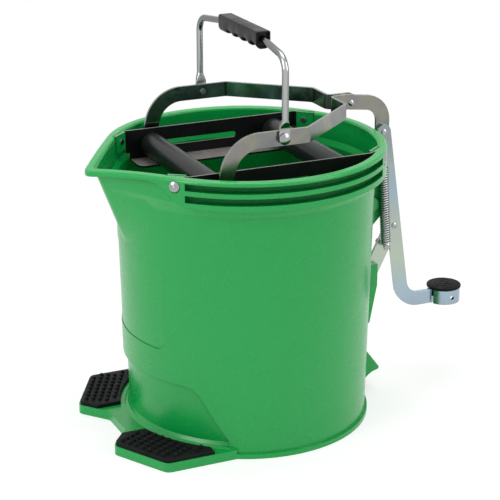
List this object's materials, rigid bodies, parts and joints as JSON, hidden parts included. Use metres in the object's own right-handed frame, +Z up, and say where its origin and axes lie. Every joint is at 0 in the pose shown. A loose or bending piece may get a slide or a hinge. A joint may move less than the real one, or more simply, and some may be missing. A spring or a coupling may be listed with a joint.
{
  "type": "mop bucket with wringer",
  "caption": "Round pouring bucket with a foot-pedal roller wringer, toe rests, spout and carry handle; pressing the pedal draws one roller toward the other.",
  "frame": {"origin": "on the floor, at the axis of the round bucket body", "axes": "+X from the spout to the pedal, +Y to the far side, +Z up"},
  "size_m": [0.4412, 0.296, 0.429],
  "materials": {
    "green_shell": "gloss",
    "pad_rubber": "matte",
    "rail_black": "gloss",
    "roller_grey": "satin",
    "bush_plastic": "matte",
    "zinc_steel": "bright zinc",
    "rivet_steel": "bright zinc",
    "grip_plastic": "matte"
  },
  "bodies": {
    "bucket": {"bucket_shell": "green_shell", "toe_pad_near": "pad_rubber", "toe_pad_far": "pad_rubber", "rail_near": "rail_black", "rail_far": "rail_black", "rail_rivets": "rivet_steel", "fixed_roller_axle": "rivet_steel", "fixed_axle_clips": "rivet_steel", "lower_pivot_pin": "rivet_steel", "return_spring": "rivet_steel"},
    "fixed_roller": {"fixed_roller": "roller_grey", "fixed_roller_bushes": "bush_plastic"},
    "carriage": {"moving_roller_axle": "rivet_steel", "moving_axle_clips": "rivet_steel"},
    "moving_roller": {"moving_roller": "roller_grey", "moving_roller_bushes": "bush_plastic"},
    "yoke": {"yoke_arm_near": "zinc_steel", "yoke_arm_far": "zinc_steel", "gooseneck_plate": "zinc_steel", "yoke_rivet": "rivet_steel", "handle_rivets": "rivet_steel"},
    "handle": {"handle_bail": "zinc_steel", "handle_grip": "grip_plastic"},
    "pedal": {"pedal_lever": "zinc_steel", "pedal_cap": "pad_rubber", "link_plate": "zinc_steel", "lever_link_rivet": "rivet_steel", "upper_pivot_rivet": "rivet_steel", "upper_pivot_washer": "rivet_steel", "spring_pin": "rivet_steel"}
  },
  "joints": [
    {"name": "lever_press", "type": "hinge", "parent": "bucket", "child": "pedal", "pos_m": [0.1455, 0, 0.1195], "axis": [0, 1, 0], "range_deg": [0, 24], "stiffness_Nm_per_rad": 3, "springref_deg": -14.32, "deforming": ["return_spring"]},
    {"name": "carriage_slide", "type": "slide", "parent": "bucket", "child": "carriage", "axis": [1, 0, 0], "range_m": [0, 0.0696]},
    {"name": "yoke_tilt", "type": "hinge", "parent": "carriage", "child": "yoke", "pos_m": [-0.0695, 0, 0.2825], "axis": [0, 1, 0], "range_deg": [0, 4.8]},
    {"name": "fixed_roller_spin", "type": "hinge", "parent": "bucket", "child": "fixed_roller", "pos_m": [0.0735, 0, 0.2825], "axis": [0, 1, 0], "continuous": true},
    {"name": "moving_roller_spin", "type": "hinge", "parent": "carriage", "child": "moving_roller", "pos_m": [-0.0695, 0, 0.2825], "axis": [0, 1, 0], "continuous": true},
    {"name": "handle_swing", "type": "hinge", "parent": "yoke", "child": "handle", "pos_m": [-0.005, 0, 0.3315], "axis": [0, 1, 0], "range_deg": [-95, 70]}
  ],
  "couplings": [
    {"joint": "carriage_slide", "follows": "lever_press", "m_per_rad": 0.16533},
    {"joint": "yoke_tilt", "follows": "lever_press", "ratio": 0.19839}
  ]
}
